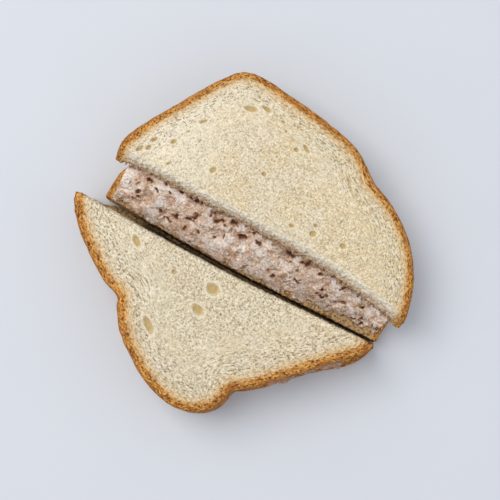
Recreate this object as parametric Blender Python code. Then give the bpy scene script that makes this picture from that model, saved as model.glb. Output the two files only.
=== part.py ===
"""Tuna salad sandwich on white bread, cut in two from corner to corner.

Each half is a bottom slice, a bed of tuna salad and a top slice, and the halves lie with their cut edges
nearly touching. X runs along the cut, +Y from half B to half A, and +Z up from the underside of the bread.
Half A's top slice has slid back from the cut, so its filling shows as a slope of flakes.
"""

import math
import random

import bmesh
import bpy
from mathutils import Euler, Matrix, Vector, geometry, noise

MM = 0.001  # every size below is in millimetres, and each finished mesh is scaled to metres
LEVEL = 0.01  # an edge that rises by less than this is level
ON_PLANE = 0.02  # a point nearer to a cutting plane than this is taken as on it
SMOOTH_BELOW = 40.0  # degrees between faces that shade as one smooth surface

# Bread
SLICE = 12.0  # thickness of a slice
EDGE_ROUND = 2.2
EDGE_SEGMENTS = 2
RIM_STEP = 6.0  # between the points of a crust's curve
RIM_END_STEP = 2.0  # the least distance of such a point from the cut edge
CUT_STEP = 8.0  # between the points of a slice's cut edge
GRID = 15.0  # the mesh that lets a slice and its filling follow the mound
UNEVEN = 0.5  # how far a top slice's upper face rises and falls
UNEVEN_WAVE = 28.0
LEAN_REACH = 26.0  # how far behind a cut face the bread still leans with it
A_TOP_LEAN = (5.6, 7.2)  # how far the foot of a cut face stands out below its top edge, left and right
A_TOP_LEAN_FROM, A_TOP_LEAN_TO = -10.0, 50.0
A_TOP_LEAN_MORE = 2.4  # by so much more at the left end
A_TOP_LEAN_MORE_FROM, A_TOP_LEAN_MORE_TO = -58.0, -74.0
A_BASE_LEAN = 0.5
B_LEAN = 0.8
B_BASE_LEAN_FROM, B_BASE_LEAN_TO = -78.0, -68.0  # left of half A's corner the foot doesn't stand out
FEET_APART = 0.6  # between the two bottom slices, which all but touch where they stand out furthest
CLEARANCE = 0.3  # between pieces that rest on each other

# Filling
FILL_MIDDLE = 16.0  # depth of the filling at the middle of the cut
FILL_RIM = 9.0
FILL_REACH = (106.0, 94.0)  # from the middle of the cut to where the bed is down to its rim depth
FILL_CENTRE_Y = 2.0
A_FILL_INSET = 4.2  # from the bottom slice's crust to the filling
A_RIM_SHEAR = 8.5  # how far the slid top slice has drawn the back of half A's filling with it
A_FILL_DEPTH = 70.0  # from the cut to the back of half A's filling
A_FILL_TUCK = 1.0  # how far the top of its slope reaches in below the top slice
A_DRAWN_RIGHT = 0.9  # how far the top of the filling lies to the right of its foot
B_FILL_INSET = 4.0
B_FILL_SHEAR = 0.4
B_SQUEEZED_AT = (48.0, 65.0)  # where half B's filling has been squeezed out past its crust
B_SQUEEZED_REACH = 11.0
B_SQUEEZED_INSET = -2.0
FILL_WANDER = 1.4  # how far the filling's edge strays from a straight cut
FILL_WANDER_WAVE = 19.0
A_FILL_STEP = 4.0  # between the points of the filling's edge along the cut
B_FILL_STEP = 6.0
BESIDE_CUT = 1.0  # a face nearer to the cut than this belongs to the cut's own side
STEEP = 0.5  # a face whose normal rises or falls by less than this belongs to a side
FACE_ROWS = (0.17, 0.34, 0.5, 0.66, 0.83)  # shares of the depth at which the face beside the cut can bend
SIDE_ROWS = (0.5,)
CRAG = 3.0  # height of the lumps on the filling's sides
CRAG_WAVE = 7.0
FINE_CRAG = 1.4
FINE_CRAG_WAVE = 3.2

# Flakes, as shares of their length but for the two angles in radians
FLAKE_WIDTH = (0.45, 0.7)
FLAKE_THICK = (0.35, 0.5)
FLAKE_SUNK = 0.1
FLAKE_ROUGH = (0.85, 1.15)
FLAKE_TILT = 0.3
A_FLAKES_WITHIN = 76.0  # half A's flakes lie on the slope, up to so far from the middle
A_FLAKES_FACING = -0.3
B_FLAKES_BESIDE_CUT = -15.0  # half B's lie on its cut side and right of its lobe
B_FLAKES_RIGHT = 38.0
B_FLAKES_FACING = 0.6

# The gap between the halves: neither filling reaches past its own limit
A_FACE_LIMIT = -8.8
B_FACE_LIMIT = -10.6

A_MIDDLE = (0.0, 25.0, 0.0)
B_MIDDLE = (0.0, -25.0, 0.0)
ORIGIN = (0.1, -1.3, 0.0)  # the point below the middle of the whole, which becomes the part's origin

# Half A, seen from above: its crust runs from the left end of the cut round to the right end
A_TOP_RIM = (
    (-79.8, 18.0),
    (-80.2, 22.0),
    (-77.4, 29.8),
    (-63.6, 53.0),
    (-50.0, 74.5),
    (-43.0, 81.6),
    (-33.0, 83.7),
    (-17.5, 82.3),
    (6.0, 79.2),
    (24.5, 74.8),
    (34.8, 68.6),
    (41.0, 63.6),
    (52.5, 59.0),
    (64.6, 51.6),
    (75.4, 41.1),
    (83.3, 27.9),
    (87.6, 15.0),
    (88.2, 10.8),
)
A_BASE_RIM = (
    (-77.1, -7.9),
    (-77.0, -0.6),
    (-76.4, 7.0),
    (-74.2, 12.0),
    (-67.5, 23.5),
    (-54.5, 46.5),
    (-42.0, 63.5),
    (-35.0, 69.0),
    (-26.0, 70.8),
    (4.0, 68.0),
    (22.0, 63.6),
    (31.5, 57.8),
    (38.0, 53.2),
    (50.0, 49.2),
    (62.0, 41.5),
    (72.5, 31.0),
    (80.2, 18.0),
    (84.0, 5.0),
    (83.2, -1.0),
    (83.0, -7.4),
)

# The upper edges beside the gap, from left to right: half A's bottom slice and half B's top slice
A_BASE_EDGE = (
    (-78.0, -7.3),
    (-44.0, -8.6),
    (-20.0, -9.3),
    (6.0, -9.4),
    (38.0, -8.5),
    (68.0, -7.4),
    (84.0, -7.1),
)
B_TOP_EDGE = (
    (-89.0, -11.2),
    (-45.0, -11.4),
    (-2.0, -11.2),
    (37.0, -10.0),
    (65.0, -8.9),
    (81.0, -8.4),
)

# The foot of half A's filling along the cut, from left to right
A_FILL_FOOT = (
    (-80.0, -5.6),
    (-64.0, -6.2),
    (-54.0, -7.6),
    (-36.0, -8.0),
    (6.0, -8.1),
    (20.0, -7.2),
    (37.0, -7.4),
    (46.0, -4.8),
    (58.0, -2.2),
    (70.0, -1.2),
    (84.0, 2.6),
)

# Half B, from the left end of the cut down and round to the right end
B_TOP_RIM = (
    (-88.4, -11.6),
    (-88.0, -15.0),
    (-79.5, -26.2),
    (-67.5, -35.9),
    (-54.5, -44.6),
    (-48.4, -46.6),
    (-44.6, -48.3),
    (-43.4, -51.2),
    (-41.2, -54.8),
    (-36.3, -62.0),
    (-25.4, -71.3),
    (-12.0, -79.3),
    (1.5, -83.4),
    (12.0, -83.0),
    (20.3, -78.6),
    (25.0, -72.3),
    (26.8, -66.5),
    (27.6, -62.2),
    (31.4, -59.8),
    (38.6, -54.0),
    (48.4, -44.2),
    (66.5, -25.4),
    (76.5, -15.8),
    (80.6, -9.4),
)
B_BASE_SHIFT = (3.0, -2.6)  # the bottom slice has crept out below the top one
B_SPREAD_AT = (27.0, -70.0)  # where the crust's side wall spreads out below the top edge
B_SPREAD_REACH = 17.0
B_SPREAD = 2.8


def blend(low, high, share):
    return low + (high - low) * share


def part_way(x, start, end):
    """The share of the way from start to end that x has come, from 0 to 1."""
    return min(1.0, max(0.0, (x - start) / (end - start)))


def strayed(x, seed):
    """How far a filling's edge strays from its line at x."""
    return FILL_WANDER * noise.noise(Vector((x / FILL_WANDER_WAVE, seed, 0.0)))


def cut_line(y, bend, start, end, stray=None):
    """The cut edge of a piece: straight at y as far as start, then bending by so much towards end."""

    def at(x):
        line = y + bend * max(0.0, (x - start) / (end - start)) ** 2
        return line + stray(x, y) if stray else line

    return at


def line_through(points, stray=None):
    """An edge that runs straight from point to point, and may stray a little from that."""

    def at(x):
        passed = [i for i, point in enumerate(points[:-1]) if point[0] <= x]
        i = passed[-1] if passed else 0
        (start, y), (end, next_y) = points[i], points[i + 1]
        line = blend(y, next_y, part_way(x, start, end))
        return line + stray(x, points[0][1]) if stray else line

    return at


A_TOP_CUT = cut_line(18.3, -7.4, 25.0, 87.0)
A_BASE_CUT = line_through(A_BASE_EDGE)
A_FILL_CUT = line_through(A_FILL_FOOT, strayed)
B_TOP_CUT = line_through(B_TOP_EDGE)
B_BASE_CUT = cut_line(-12.0, 1.0, 20.0, 80.0)
B_FILL_CUT = cut_line(-12.2, 2.2, 20.0, 80.0, strayed)


def filling_depth(x, y):
    """How deep the filling is over a point: a broad mound about the middle of the cut."""
    across, along = x / FILL_REACH[0], (y - FILL_CENTRE_Y) / FILL_REACH[1]
    near = max(0.0, 1.0 - across * across - along * along)
    return blend(FILL_RIM, FILL_MIDDLE, near * near * (3.0 - 2.0 * near))


def smooth_through(points, step):
    """Places about a step apart along a smooth curve through the points, which lie in a plane."""
    knots = [Vector((x, y, 0.0)) for x, y in points]
    before = [knots[0]] + knots[:-1]
    after = knots[1:] + [knots[-1]]
    headings = [(b - a).normalized() for a, b in zip(before, after)]
    curve = []
    for i in range(len(knots) - 1):
        reach = (knots[i + 1] - knots[i]).length / 3.0
        count = max(2, round(3.0 * reach / step)) + 1
        curve += geometry.interpolate_bezier(
            knots[i],
            knots[i] + headings[i] * reach,
            knots[i + 1] - headings[i + 1] * reach,
            knots[i + 1],
            count,
        )[:-1]
    return curve + [knots[-1]]


def moved_inwards(curve, inset, middle):
    """The curve moved by inset(x, y) towards the side where the middle lies."""
    moved = []
    for i, point in enumerate(curve):
        along = curve[min(i + 1, len(curve) - 1)] - curve[max(i - 1, 0)]
        across = Vector((-along.y, along.x, 0.0)).normalized()
        if across.dot(middle - point) < 0.0:
            across.negate()
        moved.append(point + across * inset(point.x, point.y))
    return moved


def closed_outline(rim, cut, step):
    """The crust's curve closed by the cut edge, with the crust's two ends put on that edge."""
    left, right = rim[0].x, rim[-1].x
    ends = [Vector((left, cut(left), 0.0)), Vector((right, cut(right), 0.0))]
    count = round((right - left) / step)
    xs = [blend(right, left, i / count) for i in range(1, count)]
    inner = [p for p in rim[1:-1] if abs(p.y - cut(p.x)) > RIM_END_STEP]
    return [ends[0]] + inner + [ends[1]] + [Vector((x, cut(x), 0.0)) for x in xs]


def slab(outline, thick):
    """A closed mesh of the outline's shape from z = 0 up to thick."""
    bm = bmesh.new()
    low = [bm.verts.new(point) for point in outline]
    high = [bm.verts.new((point.x, point.y, thick)) for point in outline]
    bm.faces.new(low)
    bm.faces.new(high)
    for i in range(len(outline)):
        bm.faces.new((low[i - 1], low[i], high[i], high[i - 1]))
    bmesh.ops.recalc_face_normals(bm, faces=bm.faces)
    return bm


def divide(bm, axis, places, wanted=None):
    """Cuts the faces that are wanted by planes across the axis, so that they can bend there."""
    normal = Vector([float(i == axis) for i in range(3)])
    for place in places:
        faces = [f for f in bm.faces if wanted is None or wanted(f)]
        edges = dict.fromkeys(e for f in faces for e in f.edges)
        verts = dict.fromkeys(v for f in faces for v in f.verts)
        bmesh.ops.bisect_plane(
            bm,
            geom=faces + list(edges) + list(verts),
            dist=ON_PLANE,
            plane_co=normal * place,
            plane_no=normal,
        )


def spaced(low, high, step):
    count = max(1, math.ceil((high - low) / step))
    return [blend(low, high, i / count) for i in range(1, count)]


def plain_material(name, colour, roughness):
    material = bpy.data.materials.new(name)
    material.use_nodes = True
    shader = material.node_tree.nodes["Principled BSDF"]
    shader.inputs["Base Color"].default_value = (*colour, 1.0)
    shader.inputs["Roughness"].default_value = roughness
    shader.inputs["Metallic"].default_value = 0.0
    return material


def object_of(bm, name, parent, material):
    """The finished piece as an object, with its mesh in millimetres."""
    mesh = bpy.data.meshes.new(name)
    bm.to_mesh(mesh)
    bm.free()
    mesh.materials.append(material)
    piece = bpy.data.objects.new(name, mesh)
    bpy.context.scene.collection.objects.link(piece)
    piece.parent = parent
    return piece


def scaled_to_metres(piece):
    piece.data.transform(Matrix.Scale(MM, 4))
    piece.data.shade_smooth()
    piece.data.set_sharp_from_angle(angle=math.radians(SMOOTH_BELOW))


def half_slice(name, parent, material, outline, cut, lean, resting, uneven=0.0, spread=None):
    """Half a slice of bread with its crust.

    Its cut face leans out by lean(x) towards the underside, its underside lies at resting(x, y), and its side
    wall may spread sideways below the top edge by spread(x, y). Its upper face rises and falls by uneven.
    """
    bm = slab(outline, SLICE)
    rounded = [e for e in bm.edges if abs(e.verts[0].co.z - e.verts[1].co.z) < LEVEL]
    bmesh.ops.bevel(
        bm,
        geom=rounded,
        offset=EDGE_ROUND,
        offset_type="OFFSET",
        segments=EDGE_SEGMENTS,
        profile=0.5,
        affect="EDGES",
        material=-1,
    )
    xs, ys = [p.x for p in outline], [p.y for p in outline]
    divide(bm, 0, spaced(min(xs), max(xs), GRID))
    divide(bm, 1, spaced(min(ys), max(ys), GRID))
    bmesh.ops.triangulate(bm, faces=bm.faces)
    outwards = 1.0 if sum(ys) > 0.0 else -1.0
    for vert in bm.verts:
        x, y, z = vert.co
        up = z / SLICE
        behind = outwards * (y - cut(x))
        near = max(0.0, 1.0 - max(0.0, behind) / LEAN_REACH)
        y -= outwards * lean(x) * (1.0 - up) * near * near
        if spread:
            x += spread(x, y) * (1.0 - up)
        wave = noise.noise(Vector((x, y, len(name))) / UNEVEN_WAVE)
        vert.co = (x, y, resting(x, y) + z + uneven * wave * up)
    piece = object_of(bm, name, parent, material)
    scaled_to_metres(piece)
    return piece


def on_plate(x, y):
    return 0.0


def on_filling(x, y):
    return SLICE + filling_depth(x, y) + 2.0 * CLEARANCE


def crag(place):
    """How far the filling's side stands out at a place: lumps, with finer ones on them."""
    return CRAG * noise.noise(place / CRAG_WAVE) + FINE_CRAG * noise.noise(place / FINE_CRAG_WAVE)


def kept_between_slices(point, face_limit):
    """The point moved to lie between the slices and on its own side of the gap between the halves."""
    low = SLICE + CLEARANCE
    high = SLICE + filling_depth(point.x, point.y) + CLEARANCE
    return Vector((point.x, face_limit(point.y), min(max(point.z, low), high)))


def flake(collection, rng, place, normal, size, face_limit):
    """One low, long flake of fish that lies on the filling's side."""
    bm = bmesh.new()
    bmesh.ops.create_icosphere(bm, subdivisions=1, radius=0.5)
    for vert in bm.verts:
        vert.co *= rng.uniform(*FLAKE_ROUGH)
    lie = normal.to_track_quat("Z", "Y").to_matrix()
    tilts = rng.gauss(0.0, FLAKE_TILT), rng.gauss(0.0, FLAKE_TILT)
    turn = Euler((*tilts, rng.uniform(0.0, math.pi))).to_matrix()
    shares = 1.0, rng.uniform(*FLAKE_WIDTH), rng.uniform(*FLAKE_THICK)
    shape = lie @ turn @ Matrix.Diagonal(Vector(shares) * size)
    for vert in bm.verts:
        vert.co = kept_between_slices(place + shape @ vert.co, face_limit)
    mesh = bpy.data.meshes.new("flake")
    bm.to_mesh(mesh)
    bm.free()
    collection.objects.link(bpy.data.objects.new("flake", mesh))


def one_body(piece):
    """Keeps the largest body of the mesh: a sealed hollow is filled and a loose scrap dropped."""
    bm = bmesh.new()
    bm.from_mesh(piece.data)
    bmesh.ops.triangulate(bm, faces=bm.faces)
    seen, largest = set(), []
    for start in bm.faces:
        if start in seen:
            continue
        seen.add(start)
        body = [start]
        for face in body:
            for neighbour in (f for e in face.edges for f in e.link_faces):
                if neighbour not in seen:
                    seen.add(neighbour)
                    body.append(neighbour)
        largest = max(largest, body, key=len)
    kept = set(largest)
    bmesh.ops.delete(bm, geom=[f for f in bm.faces if f not in kept], context="FACES")
    bm.to_mesh(piece.data)
    bm.free()


def fused_with_flakes(piece, seed, count, sizes, allowed, face_limit):
    """The filling with flakes joined to the parts of its sides where they are allowed."""
    rng = random.Random(seed)
    collection = bpy.data.collections.new("flakes")
    sides = [p for p in piece.data.polygons if allowed(p.center, p.normal)]
    areas = [p.area for p in sides]
    for polygon in rng.choices(sides, weights=areas, k=count):
        size = rng.uniform(*sizes)
        place = polygon.center - polygon.normal * FLAKE_SUNK * size
        flake(collection, rng, place, polygon.normal, size, face_limit)
    join = piece.modifiers.new("flakes", "BOOLEAN")
    join.operation = "UNION"
    join.operand_type = "COLLECTION"
    join.collection = collection
    join.solver = "EXACT"
    with bpy.context.temp_override(object=piece, active_object=piece):
        bpy.ops.object.modifier_apply(modifier=join.name)
    for loose in list(collection.objects):
        bpy.data.objects.remove(loose)
    bpy.data.collections.remove(collection)
    one_body(piece)


def tuna(name, parent, material, outline, cut, sheared, face_limit, flakes):
    """A bed of tuna salad: a craggy slab between the slices with flakes on what shows of its sides."""
    outwards = 1.0 if sum(p.y for p in outline) > 0.0 else -1.0

    def beside_cut(face):
        middle = face.calc_center_median()
        return outwards * (middle.y - cut(middle.x)) < BESIDE_CUT

    bm = slab(outline, 1.0)
    xs, ys = [p.x for p in outline], [p.y for p in outline]
    divide(bm, 0, spaced(min(xs), max(xs), GRID))
    divide(bm, 1, spaced(min(ys), max(ys), GRID))
    divide(bm, 2, SIDE_ROWS)
    divide(bm, 2, FACE_ROWS, beside_cut)
    sides = dict.fromkeys(v for f in bm.faces if abs(f.normal.z) < STEEP for v in f.verts)
    bmesh.ops.triangulate(bm, faces=bm.faces)
    for vert in bm.verts:
        x, y = sheared(*vert.co)
        low = SLICE + CLEARANCE
        vert.co = (x, y, blend(low, SLICE + filling_depth(x, y) + CLEARANCE, vert.co.z))
    bm.normal_update()
    for vert in sides:
        vert.co = kept_between_slices(vert.co + vert.normal * crag(vert.co), face_limit)
    piece = object_of(bm, name, parent, material)
    fused_with_flakes(piece, face_limit=face_limit, **flakes)
    scaled_to_metres(piece)
    return piece


def lean_a_top(x):
    more = A_TOP_LEAN_MORE * part_way(x, A_TOP_LEAN_MORE_FROM, A_TOP_LEAN_MORE_TO)
    return blend(*A_TOP_LEAN, part_way(x, A_TOP_LEAN_FROM, A_TOP_LEAN_TO)) + more


def lean_a_base(x):
    return A_BASE_LEAN


def lean_b_top(x):
    return B_LEAN


def lean_b_base(x):
    """Half B's bottom slice leans out until it all but meets half A's where their rounded feet begin."""
    apart = A_BASE_CUT(x) - B_BASE_CUT(x) - FEET_APART
    beside_a = part_way(x, B_BASE_LEAN_FROM, B_BASE_LEAN_TO)
    return beside_a * (apart / (1.0 - EDGE_ROUND / SLICE) - lean_a_base(x))


def shear_a(x, y, up):
    """Half A's filling slopes back from its own edge to the underside of the slid top slice."""
    across = part_way(y - A_FILL_CUT(x), 0.0, A_FILL_DEPTH)
    at_cut = A_TOP_CUT(x) - lean_a_top(x) - A_FILL_CUT(x) + A_FILL_TUCK
    return x + up * A_DRAWN_RIGHT, y + up * blend(at_cut, A_RIM_SHEAR, across)


def shear_b(x, y, up):
    return x, y + B_FILL_SHEAR * up


def a_shows(centre, normal):
    return normal.y < A_FLAKES_FACING and abs(centre.x) < A_FLAKES_WITHIN


def b_shows(centre, normal):
    beside = centre.y > B_FLAKES_BESIDE_CUT or centre.x > B_FLAKES_RIGHT
    return beside and abs(normal.z) < B_FLAKES_FACING


def half(name, parent):
    holder = bpy.data.objects.new(name, None)
    bpy.context.scene.collection.objects.link(holder)
    holder.parent = parent
    return holder


def build_half_a(parent, bread, fish):
    top_rim = smooth_through(A_TOP_RIM, RIM_STEP)
    base_rim = smooth_through(A_BASE_RIM, RIM_STEP)
    fill_rim = moved_inwards(base_rim, lambda x, y: A_FILL_INSET, Vector(A_MIDDLE))
    half_slice(
        "half_a_bottom_slice",
        parent,
        bread,
        closed_outline(base_rim, A_BASE_CUT, CUT_STEP),
        A_BASE_CUT,
        lean_a_base,
        on_plate,
    )
    tuna(
        "half_a_tuna",
        parent,
        fish,
        closed_outline(fill_rim, A_FILL_CUT, A_FILL_STEP),
        A_FILL_CUT,
        shear_a,
        lambda y: max(y, A_FACE_LIMIT),
        {
            "seed": 4,
            "count": 90,
            "sizes": (3.5, 8.0),
            "allowed": a_shows,
        },
    )
    half_slice(
        "half_a_top_slice",
        parent,
        bread,
        closed_outline(top_rim, A_TOP_CUT, CUT_STEP),
        A_TOP_CUT,
        lean_a_top,
        on_filling,
        UNEVEN,
    )


def b_fill_inset(x, y):
    """The filling stays behind the crust, but has been squeezed out in places on the right."""
    out = max(1.0 - ((x - place) / B_SQUEEZED_REACH) ** 2 for place in B_SQUEEZED_AT)
    return blend(B_FILL_INSET, B_SQUEEZED_INSET, max(0.0, out))


def b_spread(x, y):
    away = math.hypot(x - B_SPREAD_AT[0], y - B_SPREAD_AT[1]) / B_SPREAD_REACH
    return B_SPREAD * max(0.0, 1.0 - away * away)


def build_half_b(parent, bread, fish):
    rim = smooth_through(B_TOP_RIM, RIM_STEP)
    shift = Vector((*B_BASE_SHIFT, 0.0))
    base_rim = [point + shift for point in rim]
    fill_rim = moved_inwards(rim, b_fill_inset, Vector(B_MIDDLE))
    half_slice(
        "half_b_bottom_slice",
        parent,
        bread,
        closed_outline(base_rim, B_BASE_CUT, CUT_STEP),
        B_BASE_CUT,
        lean_b_base,
        on_plate,
    )
    tuna(
        "half_b_tuna",
        parent,
        fish,
        closed_outline(fill_rim, B_FILL_CUT, B_FILL_STEP),
        B_FILL_CUT,
        shear_b,
        lambda y: min(y, B_FACE_LIMIT),
        {
            "seed": 9,
            "count": 46,
            "sizes": (3.5, 7.0),
            "allowed": b_shows,
        },
    )
    half_slice(
        "half_b_top_slice",
        parent,
        bread,
        closed_outline(rim, B_TOP_CUT, CUT_STEP),
        B_TOP_CUT,
        lean_b_top,
        on_filling,
        UNEVEN,
        b_spread,
    )


def main():
    for old in list(bpy.data.objects):
        bpy.data.objects.remove(old)
    bread = plain_material("white bread", (0.72, 0.60, 0.42), 0.9)
    fish = plain_material("tuna salad", (0.48, 0.33, 0.25), 0.55)
    sandwich = half("sandwich", None)
    sandwich.location = -MM * Vector(ORIGIN)
    build_half_a(half("half_a", sandwich), bread, fish)
    build_half_b(half("half_b", sandwich), bread, fish)


main()
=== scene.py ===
import math
import random

import bmesh
import bpy
import numpy as np
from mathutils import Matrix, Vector, kdtree, noise
from mathutils.bvhtree import BVHTree


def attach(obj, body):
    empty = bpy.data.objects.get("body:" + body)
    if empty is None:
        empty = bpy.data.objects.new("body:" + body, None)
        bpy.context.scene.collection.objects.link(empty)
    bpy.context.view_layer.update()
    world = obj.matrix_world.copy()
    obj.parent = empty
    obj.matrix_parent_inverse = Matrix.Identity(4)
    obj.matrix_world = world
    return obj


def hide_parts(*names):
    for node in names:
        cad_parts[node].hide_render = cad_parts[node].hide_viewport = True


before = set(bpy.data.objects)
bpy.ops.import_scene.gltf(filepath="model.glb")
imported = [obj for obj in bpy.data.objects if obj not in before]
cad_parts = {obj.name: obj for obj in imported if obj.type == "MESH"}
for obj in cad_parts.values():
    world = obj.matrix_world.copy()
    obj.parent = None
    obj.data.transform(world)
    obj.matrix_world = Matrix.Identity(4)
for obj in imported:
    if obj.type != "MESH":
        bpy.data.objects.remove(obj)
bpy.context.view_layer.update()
mm = 0.001  # sizes below are in millimetres, meshes in metres
coarser = 1.0


# Meshes as arrays of points in millimetres

def placesOf(piece):
    flat = np.empty(len(piece.data.vertices) * 3, np.float32)
    piece.data.vertices.foreach_get("co", flat)
    return flat.reshape(-1, 3).astype(float) / mm


def normalsOf(piece):
    flat = np.empty(len(piece.data.vertices) * 3, np.float32)
    piece.data.vertices.foreach_get("normal", flat)
    return flat.reshape(-1, 3).astype(float)


def edgesOf(piece):
    flat = np.empty(len(piece.data.edges) * 2, np.int32)
    piece.data.edges.foreach_get("vertices", flat)
    return flat.reshape(-1, 2)


def trianglesOf(piece):
    flat = np.empty(len(piece.data.polygons) * 3, np.int32)
    piece.data.polygons.foreach_get("vertices", flat)
    return flat.reshape(-1, 3)


def moveTo(piece, at):
    piece.data.vertices.foreach_set("co", (at * mm).astype(np.float32).ravel())
    piece.data.update()


def keepAttribute(piece, name, columns):
    # three numbers for each vertex, which the finish reads
    kept = piece.data.attributes.new(name, "FLOAT_VECTOR", "POINT")
    kept.data.foreach_set("vector", np.stack(columns, axis=1).astype(np.float32).ravel())


def wavy(at, wave, seed):
    # smooth noise of about -1 to 1 at each point
    shift = Vector((seed * 3.7, seed * 1.9, seed * 5.3))
    return np.array([noise.noise(Vector(p) / wave + shift) for p in at.tolist()])


def eased(value, low, high):
    # 0 at low, 1 at high, and smooth between them
    share = np.clip((value - low) / (high - low), 0.0, 1.0)
    return share * share * (3.0 - 2.0 * share)


def relaxed(at, edges, rounds, share=0.5):
    # each point goes part of the way to the middle of its neighbours, so many times
    first, second = edges[:, 0], edges[:, 1]
    count = len(at)
    degree = np.bincount(first, minlength=count) + np.bincount(second, minlength=count)
    for _ in range(rounds):
        sums = [
            np.bincount(first, at[second, k], count) + np.bincount(second, at[first, k], count)
            for k in range(3)
        ]
        at = at + share * (np.stack(sums, axis=1) / degree[:, None] - at)
    return at


def treeOf(points):
    tree = kdtree.KDTree(len(points))
    for i, point in enumerate(points.tolist()):
        tree.insert(point, i)
    tree.balance()
    return tree


def inPlan(at):
    return at * (1.0, 1.0, 0.0)


def unit(vectors):
    return vectors / np.maximum(np.linalg.norm(vectors, axis=-1, keepdims=True), 1e-9)


def ballShape(fineness):
    # a ball's points and faces, for what is made in large numbers
    bm = bmesh.new()
    bmesh.ops.create_icosphere(bm, subdivisions=fineness, radius=1.0)
    bm.verts.index_update()
    points = np.array([v.co[:] for v in bm.verts])
    faces = np.array([[v.index for v in f.verts] for f in bm.faces])
    bm.free()
    return points, faces


def joinedCopies(name, shapes, faces):
    # one mesh of many bodies, with each one's points in millimetres
    count, size = shapes.shape[:2]
    every = (faces[None] + size * np.arange(count)[:, None, None]).reshape(-1, faces.shape[1])
    mesh = bpy.data.meshes.new(name)
    mesh.from_pydata((shapes.reshape(-1, 3) * mm).tolist(), [], every.tolist())
    return mesh


def newPiece(name, bm):
    mesh = bpy.data.meshes.new(name)
    bm.to_mesh(mesh)
    bm.free()
    piece = bpy.data.objects.new(name, mesh)
    bpy.context.scene.collection.objects.link(piece)
    return piece


def nodeMesh(node):
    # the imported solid's own mesh, with its loose triangles joined up
    bm = bmesh.new()
    bm.from_mesh(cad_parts[node].data)
    bmesh.ops.remove_doubles(bm, verts=bm.verts, dist=0.001 * mm)
    return bm


def applyModifiers(piece):
    graph = bpy.context.evaluated_depsgraph_get()
    mesh = bpy.data.meshes.new_from_object(piece.evaluated_get(graph), depsgraph=graph)
    plain = piece.data
    piece.modifiers.clear()
    piece.data = mesh
    bpy.data.meshes.remove(plain)
    mesh.name = piece.name


def makeFine(piece, voxel, smoothing):
    remesh = piece.modifiers.new("remesh", "REMESH")
    remesh.mode = "VOXEL"
    remesh.voxel_size = voxel * coarser * mm
    smooth = piece.modifiers.new("smooth", "SMOOTH")
    smooth.factor = 0.5
    smooth.iterations = smoothing
    applyModifiers(piece)


def thinOut(piece, hidden, most):
    # fewer triangles where nothing shows, until there are at most so many
    count = 2 * len(piece.data.polygons)
    if count <= most:
        return
    group = piece.vertex_groups.new(name="hidden")
    group.add([int(i) for i in np.flatnonzero(hidden)], 1.0, "REPLACE")
    fewer = piece.modifiers.new("fewer", "DECIMATE")
    fewer.vertex_group = group.name
    fewer.ratio = most / count
    applyModifiers(piece)
    piece.vertex_groups.clear()
    piece.data.validate(clean_customdata=False)  # no doubled faces


def finishPiece(piece, material, slot, *nodes):
    piece.data.materials.clear()
    piece.data.materials.append(material)
    piece.data.shade_smooth()
    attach(piece, "root")
    if nodes:
        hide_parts(*nodes)
    count = sum(len(p.vertices) - 2 for p in piece.data.polygons)
    print(piece.name, count, "triangles")


# Materials

def paint(red, green, blue):
    # a colour as a picture shows it, 0 to 255, for a shader
    return (*[(((c / 255) + 0.055) / 1.055) ** 2.4 for c in (red, green, blue)], 1.0)


def addNode(tree, kind, sockets, **settings):
    node = tree.nodes.new("ShaderNode" + kind)
    for name, value in settings.items():
        setattr(node, name, value)
    for key, value in sockets.items():
        if isinstance(value, bpy.types.NodeSocket):
            tree.links.new(value, node.inputs[key])
        else:
            node.inputs[key].default_value = value
    return node


def ranged(tree, value, low, high, lowest=0.0, highest=1.0):
    # lowest at low, highest at high, and smooth between them
    sockets = {"Value": value, "From Min": low, "From Max": high, "To Min": lowest, "To Max": highest}
    return addNode(tree, "MapRange", sockets, interpolation_type="SMOOTHSTEP").outputs["Result"]


def mixed(tree, amount, first, second):
    return addNode(tree, "Mix", {0: amount, 6: first, 7: second}, data_type="RGBA").outputs[2]


def blended(tree, amount, first, second):
    return addNode(tree, "Mix", {0: amount, 2: first, 3: second}, data_type="FLOAT").outputs[0]


def maths(tree, operation, first, second):
    return addNode(tree, "Math", {0: first, 1: second}, operation=operation).outputs[0]


def times(tree, first, second):
    return maths(tree, "MULTIPLY", first, second)


def strayed(tree, value, noisy, amount):
    # a value that a noise shifts either way, by half the amount at most
    return maths(tree, "ADD", value, times(tree, maths(tree, "SUBTRACT", noisy, 0.5), amount))


def speckled(tree, vector, sizes, shift, detail=2.0, roughness=0.5):
    # noise from about 0.3 to 0.7, whose lumps measure so many millimetres each way
    scale = tuple(1.0 / size for size in sizes)
    sockets = {0: vector, 1: scale, 2: (shift, shift, shift)}
    placed = addNode(tree, "VectorMath", sockets, operation="MULTIPLY_ADD")
    sockets = {"Vector": placed.outputs[0], "Scale": 1.0, "Detail": detail, "Roughness": roughness}
    return addNode(tree, "TexNoise", sockets).outputs[0]


def newFinish(name):
    material = bpy.data.materials.new(name)
    material.use_nodes = True
    tree = material.node_tree
    return material, tree, tree.nodes["Principled BSDF"]


def attributeOf(tree, name):
    whole = addNode(tree, "Attribute", {}, attribute_type="GEOMETRY", attribute_name=name).outputs["Vector"]
    return whole, addNode(tree, "SeparateXYZ", {0: whole}).outputs


def millimetres(tree):
    # each point's place in the part's frame
    place = addNode(tree, "TexCoord", {}).outputs["Object"]
    sockets = {0: place, 1: (1.0 / mm, 1.0 / mm, 1.0 / mm)}
    return addNode(tree, "VectorMath", sockets, operation="MULTIPLY").outputs[0]


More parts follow.
